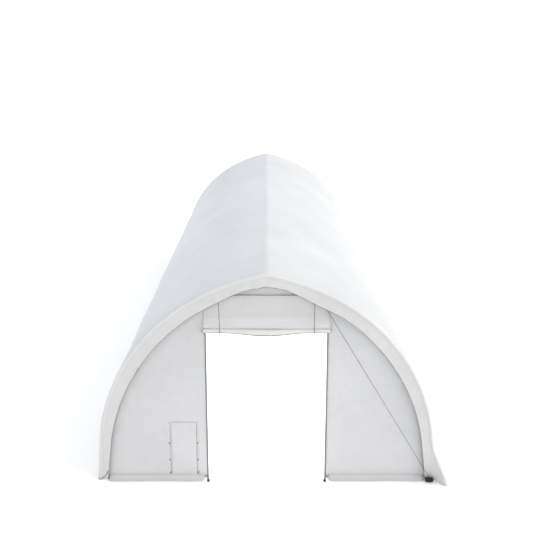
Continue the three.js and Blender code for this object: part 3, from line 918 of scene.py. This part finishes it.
def roof_stations():
    """Stations along the roof as (y, depth under the outline), turned over both end arches."""
    turned = [(FRONT_Y + 0.0012, EDGE_RADIUS + 0.026), (FRONT_Y + 0.0008, EDGE_RADIUS + 0.012)]
    for angle in spread(math.pi / 2, 0.0, 8):
        turned.append((FRONT_Y + EDGE_RADIUS * (1 - math.sin(angle)), EDGE_RADIUS * (1 - math.cos(angle))))
    front = turned[-1][0]
    count = round(-2 * front / CLOTH_STEP)
    even = [(y, 0.0) for y in spread(front, -front, count)[1:-1]]
    return turned + even + [(-y, depth) for y, depth in turned[::-1]]


def add_roof():
    places = arch_places()
    stations = roof_stations()
    front = FRONT_Y + EDGE_RADIUS
    reach = HALF_GIRTH + HEM_DROP
    rows = 2 * round(reach / CLOTH_STEP)
    points, threads = [], []
    for girth in spread(-reach, reach, rows):
        for y, depth in stations:
            point, outward = arch_point(girth, depth, y)
            ends = smooth((y - front) / 0.10) * smooth((-front - y) / 0.10)
            point += outward * roof_relief(girth, y, places[0], places[1] - places[0]) * ends
            point += corner_flare(girth, y)
            point.z = max(point.z, GROUND_GAP)
            points.append(point)
            threads.append((girth, y + math.copysign(depth, y)))
    faces = grid_faces(rows + 1, len(stations))
    roof = cloth_piece("roof_cover_cloth", points, faces, threads, MATERIALS["roof"],
                       replaced=["roof_cover"], facing=(-1, 0, 0))


def valance_profile(girth):
    """Section of an end band as (depth under the cover, distance from the end face), outside in."""
    depth = valance_depth(girth)
    turn = EDGE_RADIUS - 0.0030
    profile = [(EDGE_RADIUS - turn, EDGE_RADIUS + 0.060), (EDGE_RADIUS - turn, EDGE_RADIUS + 0.030)]
    for angle in spread(0.0, math.pi / 2, 8):
        profile.append((EDGE_RADIUS - turn * math.cos(angle), EDGE_RADIUS - turn * math.sin(angle)))
    for d in spread(EDGE_RADIUS, depth - HEM_WIDTH, 9)[1:]:
        profile.append((d, EDGE_RADIUS - turn))
    for angle in spread(-math.pi / 2, math.pi / 2, 6):
        profile.append((depth - HEM_WIDTH * 0.4 + HEM_WIDTH * 0.5 * math.cos(angle),
                        0.0055 + HEM_WIDTH * 0.40 * math.sin(angle)))
    profile.append((depth - HEM_WIDTH * 2.4, 0.0105))
    return profile


def valance_waves(girth, share):
    """Gathers that grow from the arch towards the draw rope, standing forward."""
    wave = rough(girth * 5.5, 0.5, 5.0) + 0.5 * math.sin(girth * 31 + 3 * rough(girth * 1.7, 0.0, 6.0))
    return -0.005 * share * share * (1 + wave)


def add_valance(name, end):
    """end is -1 at the front and 1 at the back."""
    points, threads = [], []
    reach = HALF_GIRTH + HEM_DROP
    count = 2 * round(reach / 0.03)
    for girth in spread(-reach, reach, count):
        profile = valance_profile(girth)
        depth = valance_depth(girth)
        for inset, back in profile:
            share = smooth((inset - EDGE_RADIUS) / (depth - EDGE_RADIUS))
            back += valance_waves(girth, share)
            ruffle = 0.004 * share * rough(girth * 9, 2.0, 7.0)
            point, _ = arch_point(girth, inset + ruffle, end * (-FRONT_Y - back))
            if end < 0:
                point += corner_flare(girth, FRONT_Y, inset)
            point.z = max(point.z, GROUND_GAP)
            points.append(point)
            threads.append((girth, inset))
    faces = grid_faces(count + 1, len(valance_profile(0.0)))
    band = cloth_piece(f"{name}_valance_cloth", points, faces, threads, MATERIALS["valance"],
                       replaced=[f"{name}_valance"])


# ---------------------------------------------------------------- frame

def arch_places():
    places = []
    for n in range(ARCH_COUNT):
        low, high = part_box(f"arch_{n + 1}_left")
        places.append((low.y + high.y) / 2)
    return places


def foot_and_tube(path, radius, foot_radius):
    """A tube whose path starts on the ground, and the round plate it stands on."""
    foot = path[0]
    sides = 28
    chamfer = 0.001
    weld = 0.004
    rings = (
        (foot_radius - chamfer, 0.0),
        (foot_radius, chamfer),
        (foot_radius, FOOT_THICKNESS - chamfer),
        (foot_radius - chamfer, FOOT_THICKNESS),
        (radius * 1.25, FOOT_THICKNESS),
        (radius * 1.04, FOOT_THICKNESS + weld),
    )
    plate = []
    for ring_radius, z in rings:
        for s in range(sides):
            angle = math.tau * s / sides
            x = foot.x + ring_radius * math.cos(angle)
            y = foot.y + ring_radius * math.sin(angle)
            plate.append(Vector((x, y, z)))
    faces = capped_faces(len(rings), sides)
    tube_path = [Vector((foot.x, foot.y, FOOT_THICKNESS))] + path[1:]
    return merged([(plate, faces), tube_skin(tube_path, lambda i, angle: radius, 20)])


def add_arches():
    top = ELBOW_REACH + 0.0003
    for n, y in enumerate(arch_places()):
        for name, side in (("left", -1), ("right", 1)):
            low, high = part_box(f"arch_{n + 1}_{name}")
            path = [arch_point(side * girth, ARCH_DEPTH, y)[0]
                    for girth in spread(top, CROWN_LENGTH + HAUNCH_LENGTH, 40)]
            foot_x = side * (max(abs(low.x), abs(high.x)) - FOOT_RADIUS)
            path.append(Vector((mix(path[-1].x, foot_x, 0.5), y, path[-1].z / 2)))
            path.append(Vector((foot_x, y, 0.0)))
            points, faces = foot_and_tube(path[::-1], ARCH_RADIUS, FOOT_RADIUS)
            steel_piece(f"arch_tube_{n + 1}_{name}", points, faces, [f"arch_{n + 1}_{name}"])
        bend = [arch_point(girth, ARCH_DEPTH, y)[0] for girth in spread(-ELBOW_REACH, ELBOW_REACH, 12)]
        tube_piece(f"ridge_sleeve_{n + 1}", bend, ARCH_RADIUS, [f"ridge_elbow_{n + 1}"])


def add_straight_tubes():
    for node in ("ridge_purlin", "base_rail_left", "base_rail_right", "side_purlin_left",
                 "side_purlin_right"):
        low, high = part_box(node)
        middle = (low + high) / 2
        ends = [Vector((middle.x, low.y, middle.z)), Vector((middle.x, high.y, middle.z))]
        tube_piece(f"{node}_tube", ends, PURLIN_RADIUS, [node])
    for end in ("door", "rear"):
        for name in ("left", "right"):
            node = f"{end}_post_{name}"
            low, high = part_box(node)
            middle = (low + high) / 2
            path = [Vector((middle.x, middle.y, z)) for z in (0.0, high.z / 2, high.z)]
            points, faces = foot_and_tube(path, PURLIN_RADIUS, 0.045)
            steel_piece(f"{node}_tube", points, faces, [node])


# ---------------------------------------------------------------- end walls

def outline_girth(x):
    """Girth of the wall's top edge straight above x."""
    low, high = 0.0, HALF_GIRTH
    for _ in range(40):
        middle = (low + high) / 2
        if arch_point(middle, WALL_INSET)[0].x < x:
            low = middle
        else:
            high = middle
    return low


def wall_edge():
    """Points down the right edge of an end wall, from the ridge to the hem."""
    count = round(HALF_GIRTH / CLOTH_STEP)
    points = [arch_point(girth, WALL_INSET)[0] for girth in spread(0.0, HALF_GIRTH, count)]
    points[-1].z = WALL_HEM
    return [(p.x, p.z) for p in points]


def stepped(a, b):
    """Points from a up to, and without, b, about a cloth step apart."""
    count = max(1, round(math.dist(a, b) / CLOTH_STEP))
    return [(mix(a[0], b[0], k / count), mix(a[1], b[1], k / count)) for k in range(count)]


def along_corners(corners):
    out = []
    for a, b in zip(corners, corners[1:]):
        out += stepped(a, b)
    return out


def wall_outline(inner_corners=()):
    """Outline of an end wall in X and Z, with corners to follow along its foot, and its half width."""
    right = wall_edge()
    foot_x = right[-1][0]
    foot = along_corners([(-foot_x, WALL_HEM), *inner_corners, (foot_x, WALL_HEM)])
    return right[::-1] + [(-x, z) for x, z in right[1:-1]] + foot, foot_x


def flat_cloth(outline, keep_off):
    """Triangles that fill an outline in X and Z, with an even inner grid clear of its edge."""
    edges = [(i, (i + 1) % len(outline)) for i in range(len(outline))]
    xs = [p[0] for p in outline]
    zs = [p[1] for p in outline]
    inner = []
    rows = int((max(zs) - min(zs)) / CLOTH_STEP)
    columns = int((max(xs) - min(xs)) / CLOTH_STEP)
    for r in range(1, rows):
        for c in range(1, columns):
            x = min(xs) + (c + 0.5 * (r % 2)) * CLOTH_STEP
            z = min(zs) + r * CLOTH_STEP
            if not keep_off(x, z, CLOTH_STEP * 0.55):
                inner.append((x, z))
    flat = [Vector(p) for p in [*outline, *inner]]
    points, _, faces, _, _, _ = delaunay_2d_cdt(flat, edges, [], 1, 1e-5)
    return [(p.x, p.y) for p in points], [tuple(face) for face in faces]


def off_wall(x, z, margin):
    """Whether a point is off the full end wall, or within margin of its edge."""
    if z < WALL_HEM + margin or abs(x) > WALL_REACH:
        return True
    top, outward = arch_point(outline_girth(abs(x)), WALL_INSET)
    return (top.z - z) * outward.z < margin or outward_gap(x, z) < margin


def outward_gap(x, z):
    """Distance in from the wall's curved edge."""
    reach = abs(x)
    for centre, radius in ((CROWN_CENTRE, CROWN_RADIUS), (HAUNCH_CENTRE, HAUNCH_RADIUS)):
        across, up = reach - centre[0], z - centre[1]
        angle = math.atan2(up, across)
        if centre is CROWN_CENTRE and angle < HAUNCH_END:
            continue
        if up < across * math.tan(LEG_LEAN):
            leg_top = centre[0] + radius * math.cos(LEG_LEAN)
            down = centre[1] + radius * math.sin(LEG_LEAN) - z
            return leg_top + down * math.tan(LEG_LEAN) - WALL_INSET - reach
        return radius - WALL_INSET - math.hypot(across, up)
    return 0.0


def off_front_wall(x, z, margin):
    in_doorway = abs(x) < DOOR_HALF_WIDTH + margin and z < DOOR_TOP + margin
    in_flap = NOTCH[0] - margin < x < NOTCH[1] + margin and z < NOTCH[2] + margin
    return in_doorway or in_flap or off_wall(x, z, margin)


def wall_relief(x, z):
    """How far an end wall's cloth blows inwards, nothing where tubes, zips or the door hold it."""
    held = smooth((abs(x) - DOOR_HALF_WIDTH - 0.05) / 0.22)
    left, right, top = NOTCH
    held *= smooth((math.hypot(max(left - x, x - right, 0.0), max(z - top, 0.0)) - 0.03) / 0.15)
    held *= smooth((outward_gap(x, z) - 0.02) / 0.25) * smooth((z - 0.06) / 0.35)
    broad = billow(x * 0.8, z * 0.6, 11.0)
    drapes = billow(x * 3.4, z * 0.9, 12.0)
    near_jamb = math.exp(-((abs(x) - 1.25) / 0.22) ** 2) * math.exp(-((z - 1.15) / 0.45) ** 2)
    pulls = billow(x * 2.0 + z * 5.0, z * 9.0 - x * 4.0, 14.0)
    return held * (0.018 * broad + 0.010 * drapes + 0.014 * near_jamb * pulls)


def add_front_wall():
    half = DOOR_HALF_WIDTH
    outer_x, inner_x, flap_top = NOTCH
    flap = [(outer_x, WALL_HEM), (outer_x, flap_top), (inner_x, flap_top), (inner_x, WALL_HEM)]
    doorway = [(-half, WALL_HEM), (-half, DOOR_TOP), (half, DOOR_TOP), (half, WALL_HEM)]
    outline, foot_x = wall_outline(flap + doorway)
    flat, faces = flat_cloth(outline, off_front_wall)
    points = [Vector((x, WALL_Y + wall_relief(x, z), z)) for x, z in flat]
    wall = cloth_piece("front_wall_cloth", points, faces, flat, MATERIALS["wall"],
                       replaced=["front_wall_left", "front_wall_right", "front_gable"], facing=(0, -1, 0))


def add_rear_wall():
    outline, foot_x = wall_outline()
    flat, faces = flat_cloth(outline, off_wall)
    points = []
    for x, z in flat:
        held = smooth((outward_gap(x, z) - 0.02) / 0.25) * smooth((abs(abs(x) - 1.076) - 0.03) / 0.15)
        blown = 0.020 * billow(x * 0.9, z * 0.7, 21.0) + 0.010 * billow(x * 4, z, 22.0)
        points.append(Vector((x, -WALL_Y - held * blown, z)))
    wall = cloth_piece("rear_wall_cloth", points, faces, flat, MATERIALS["wall"], replaced=["rear_wall"],
                       facing=(0, 1, 0))


def add_ground_flaps():
    """The front walls' loose hems, lying forward on the ground on both sides of the doorway."""
    columns, rows = 60, 9
    for name, (inner, outer) in GROUND_FLAPS.items():
        points, threads = [], []
        for r in range(rows + 1):
            share = r / rows
            for x in spread(outer, inner, columns):
                wander = 0.012 * rough(x * 2.5, 1.0, 71.0)
                ends = smooth(abs(x - inner) / 0.03) * smooth(abs(x - outer) / 0.06)
                y = WALL_Y - 0.0042 - share * mix(0.09, GROUND_FLAP_DEPTH + wander, ends)
                slope = 0.052 * (1 - share) ** 3
                ripple = 0.003 * (1 + rough(x * 8.0, share * 2.0, 72.0)) * smooth(share * 3)
                points.append(Vector((x, y, 0.0030 + slope + ripple * (1 - 0.5 * share))))
                threads.append((x, share * GROUND_FLAP_DEPTH))
        flap = cloth_piece(f"ground_flap_{name}", points, grid_faces(rows + 1, columns + 1), threads,
                           MATERIALS["valance"], facing=(0, 0, 1))


def strip(name, path, width, thickness, replaced=()):
    """Webbing that runs up a path in the wall's plane, its outer face towards the front."""
    points = []
    for p in path:
        for dx, dy in ((-0.5, 0.0), (-0.46, -1.0), (0.46, -1.0), (0.5, 0.0)):
            points.append(Vector((p.x + dx * width, p.y + dy * thickness, p.z)))
    make_piece(name, points, capped_faces(len(path), 4), [MATERIALS["binding"]], "structure",
               replaced, smooth_faces=False)


def add_jambs():
    """Webbing down both sides of the doorway, and a rubber boot and cuff at each foot."""
    for name, side in (("left", -1), ("right", 1)):
        low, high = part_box(f"jamb_binding_{name}")
        middle = (low.x + high.x) / 2
        path = []
        for z in spread(low.z, high.z, 90):
            wander = 0.0035 * rough(z * 3.0, side, 31.0)
            path.append(Vector((middle + wander, high.y, z)))
        strip(f"jamb_webbing_{name}", path, high.x - low.x, high.y - low.y, [f"jamb_binding_{name}"])
        boot = rounded_block((side * BOOT_X, WALL_Y - BOOT_REACH, 0.023), BOOT_SIZE, 0.008)
        cuff = rounded_block((side * CUFF_X, WALL_Y - CUFF_REACH, 0.008), CUFF_SIZE, 0.002)
        points, faces = merged([boot, cuff])
        make_piece(f"jamb_boot_{name}", points, faces, [MATERIALS["plastic"]], "structure",
                   smooth_faces=False)


# ---------------------------------------------------------------- curtain

def curtain_top(x):
    corner = max(0.0, (abs(x) - CURTAIN_HIGH.x + CURTAIN_CORNER_RUN) / CURTAIN_CORNER_RUN)
    return CURTAIN_HIGH.z - CURTAIN_CORNER_DROP * corner


def roll_slack(x):
    """1 where the rolled cloth bags most, in the middle, and 0 at the slings."""
    return math.cos(math.pi * x / (2 * ROLL_SAG_SPAN)) ** 2 if abs(x) < ROLL_SAG_SPAN else 0.0


def curtain_lean(x, z):
    """How far the curtain stands forward: a shelf of slack above the roll, drawn back at the sides."""
    shelf_top = SHELF_TOP + 0.010 * math.sin(x * 2.3) + 0.02 * rough(x * 1.5, 0.0, 41.0)
    inner = smooth((1.08 - abs(x)) / 0.20)
    clear_of_roll = smooth((z - SHELF_FOOT) / 0.0045)
    shelf = (0.050 + 0.007 * smooth((x + 0.3) / 0.6)) * smooth((shelf_top - z) / 0.17) * clear_of_roll
    drape = 0.007 * billow(x * 5.0, z * 1.2, 42.0) * smooth((curtain_top(x) - z) / 0.10)
    drawn_back = 0.0115 * (1 - inner) * smooth((z - 3.06) / 0.06)
    side = mix(0.85, 1.0, inner)
    return shelf * side + drape * clear_of_roll * inner - drawn_back


def add_curtain_panel():
    columns = 88
    hem = ((-0.0010, 0.0010), (0.0030, 0.0045), (0.0080, 0.0080), (0.0130, 0.0105), (0.0166, 0.0120))
    points, threads = [], []
    heights = [*spread(CURTAIN_LOW.z, 2.9285, 4), *SHELF_ROWS]
    shares = [(z - CURTAIN_LOW.z) / (CURTAIN_HIGH.z - CURTAIN_LOW.z) for z in heights]
    shares += spread(shares[-1], 1.0, 70)[1:]
    rows = len(shares)
    for share in shares:
        for x in spread(CURTAIN_LOW.x, CURTAIN_HIGH.x, columns):
            z = mix(CURTAIN_LOW.z, curtain_top(x) - 0.004 * share, share)
            points.append(Vector((x, CURTAIN_LOW.y - curtain_lean(x, z), z)))
            threads.append((x, z))
    for back, up in hem:
        for x in spread(CURTAIN_LOW.x, CURTAIN_HIGH.x, columns):
            held_back = min(0.0, curtain_lean(x, curtain_top(x)))
            points.append(Vector((x, CURTAIN_LOW.y + max(back, -held_back), curtain_top(x) + up)))
            threads.append((x, curtain_top(x) + back))
    panel = cloth_piece("curtain_cloth", points, grid_faces(rows + len(hem), columns + 1), threads,
                        MATERIALS["curtain"], body=None, replaced=["curtain_panel"], facing=(0, -1, 0))
    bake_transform(panel)


def add_curtain_roll():
    """The rest of the curtain, wound on its pipe from the outside in, with a bag of slack in the middle."""
    turns = CURTAIN_TRAVEL / (math.tau * BAGGING * (ROLL_RADIUS + PURLIN_RADIUS) / 2)
    per_turn = 20
    count = round(turns * per_turn)
    stations = spread(ROLL_LOW.x, ROLL_HIGH.x, 72)
    inner = PURLIN_RADIUS + 0.0014
    points, threads = [], []
    for k in range(count + 1):
        inward = k / count
        angle = -math.tau * turns * inward
        radius = mix(ROLL_RADIUS, inner, inward)
        for x in stations:
            slack = roll_slack(x) * (1 - inward)
            lean = 0.0012 * rough(x * 6.0 + angle, angle * 0.6, 51.0) * (1 - inward)
            end_wander = 0.003 * rough(angle * 0.9, x, 52.0) if abs(x) > 1.09 else 0.0
            r = radius * (1 + ROLL_BAG * slack) - abs(lean)
            y = ROLL_Y - ROLL_BAG * ROLL_RADIUS * slack + r * math.cos(angle)
            z = ROLL_Z - ROLL_BAG_DROP * slack + r * math.sin(angle)
            points.append(Vector((x + end_wander, y, z)))
            threads.append((x, inward * CURTAIN_TRAVEL))
    across = len(stations) - 1
    # Painted shade: a dark strip of webbing material on the outer turn's front underside stands in for the
    # shade under the roll.
    shade_strip_faces = range(SHADE_STRIP_ROWS[0] * across, SHADE_STRIP_ROWS[1] * across)
    roll = cloth_piece("curtain_roll_cloth", points, grid_faces(count + 1, len(stations)), threads,
                       MATERIALS["roll"], body="door_roll", replaced=["curtain_roll"], thickness=0.0007,
                       shade_strip_material=MATERIALS["binding"], shade_strip_faces=shade_strip_faces)


def add_roller():
    low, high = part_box("roller_pipe")
    ends = [Vector((low.x, ROLL_Y, ROLL_Z)), Vector((high.x, ROLL_Y, ROLL_Z))]
    tube_piece("roller_tube", ends, PURLIN_RADIUS, ["roller_pipe"], 28, body="door_roll")


# ---------------------------------------------------------------- calf flap

def add_calf_flap():
    columns, rows = 18, 40
    left, right, top = FLAP_LOW.x, FLAP_HIGH.x, FLAP_HIGH.z - 0.0005
    points, threads = [], []
    for r in range(rows + 1):
        for x in spread(left, right, columns):
            z = mix(WALL_HEM, top, r / rows)
            sides = smooth((x - left - 0.01) / 0.12) * smooth((right - x - 0.01) / 0.12)
            held = sides * smooth((top - z) / 0.15)
            broad = billow(x * 3.0, z * 2.0, 61.0)
            fine = billow(x * 9, z * 3, 62.0)
            points.append(Vector((x, WALL_Y - FLAP_STAND_OFF + held * (0.008 * broad + 0.005 * fine), z)))
            threads.append((x, z))
    flap = cloth_piece("calf_flap_cloth", points, grid_faces(rows + 1, columns + 1), threads,
                       MATERIALS["wall"], body="flap", replaced=["calf_flap"], facing=(0, -1, 0))


def add_zips():
    for name in ("outer", "inner"):
        low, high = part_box(f"zip_{name}")
        middle = (low.x + high.x) / 2
        parts = [rounded_block((middle, (low.y + high.y) / 2 + 0.0003, (low.z + high.z) / 2),
                               (high.x - low.x, 0.0013, high.z - low.z), 0.0005)]
        tape_faces = len(parts[0][1])
        for k in range(int((high.z - low.z) / ZIP_PITCH)):
            z = low.z + (k + 0.5) * ZIP_PITCH
            side = ZIP_STAGGER if k % 2 else -ZIP_STAGGER
            parts.append(rounded_block((middle + side, low.y + 0.0006, z), ZIP_TOOTH, 0.0005))
        points, faces = merged(parts)
        shades = [0] * tape_faces + [1] * (len(faces) - tape_faces)
        make_piece(f"zip_tape_{name}", points, faces, [MATERIALS["zip_tape"], MATERIALS["plastic"]],
                   "structure", [f"zip_{name}"], smooth_faces=False, face_material=shades)
        add_slider(name, middle)
        add_toggles(name, low, high, -1 if name == "outer" else 1)


def add_slider(name, x):
    """Zip slider with its pull tab."""
    low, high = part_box(f"zip_slider_{name}")
    y = (low.y + high.y) / 2
    body = rounded_block((x, y + 0.001, high.z - 0.011), (0.0115, 0.0048, 0.019), 0.0016)
    bridge = rounded_block((x, low.y + 0.0013, high.z - 0.010), (0.0034, 0.0024, 0.014), 0.0008)
    pull = rounded_block((x, low.y + 0.0016, low.z + 0.0105), (0.0085, 0.0022, 0.021), 0.0009)
    points, faces = merged([body, bridge, pull])
    make_piece(f"slider_{name}", points, faces, [MATERIALS["plastic"]], f"{name}_slider",
               [f"zip_slider_{name}"], smooth_faces=False)


def add_toggles(name, low, high, side):
    """Tie toggles beside a zip, each on a short webbing tab."""
    x = (low.x + high.x) / 2 + side * TOGGLE_OFFSET
    for n, z in enumerate(TOGGLE_HEIGHTS):
        tab = rounded_block((x, WALL_Y - 0.0014, z), (0.014, 0.0014, 0.044), 0.0005)
        toggle = rounded_block((x, WALL_Y - 0.0052, z), (0.024, 0.0060, 0.009), 0.0022)
        points, faces = merged([tab, toggle])
        shades = [0] * len(tab[1]) + [1] * len(toggle[1])
        make_piece(f"toggle_{name}_{n + 1}", points, faces, [MATERIALS["binding"], MATERIALS["plastic"]],
                   "structure", smooth_faces=False, face_material=shades)


# ---------------------------------------------------------------- fittings

def add_corner_tie():
    """Dark strap that draws the valance's left end down to the arch's foot."""
    path = [Vector((x, FRONT_Y - 0.002, z)) for x, z in
            ((-2.850, 0.215), (-2.875, 0.150), (-2.905, 0.095), (-2.950, 0.045), (-2.990, 0.010))]
    strip("corner_tie_left", curve_through(path, 5), 0.022, 0.0024)


def finish_cad_node(node, material):
    """Give a carried-over CAD node a finished material."""
    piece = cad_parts[node]
    for slot in piece.material_slots:
        slot.material = MATERIALS[material]


def finish_fittings():
    for node in ("curtain_batten", "pulley_housing_left", "pulley_housing_right"):
        finish_cad_node(node, "steel")
    for node in ("sheave_left", "sheave_right", "rope_cleat"):
        finish_cad_node(node, "plastic")


# ---------------------------------------------------------------- the shelter

add_camera()
add_hauling_rope()
add_cross_rope()
add_slings()
add_valance_rope()
add_studio()
add_floor()
add_roof()
add_valance("front", -1)
add_valance("rear", 1)
add_arches()
add_straight_tubes()
add_front_wall()
add_rear_wall()
add_ground_flaps()
add_jambs()
add_curtain_panel()
add_curtain_roll()
add_roller()
add_calf_flap()
add_zips()
add_corner_tie()
finish_fittings()

bpy.context.view_layer.update()
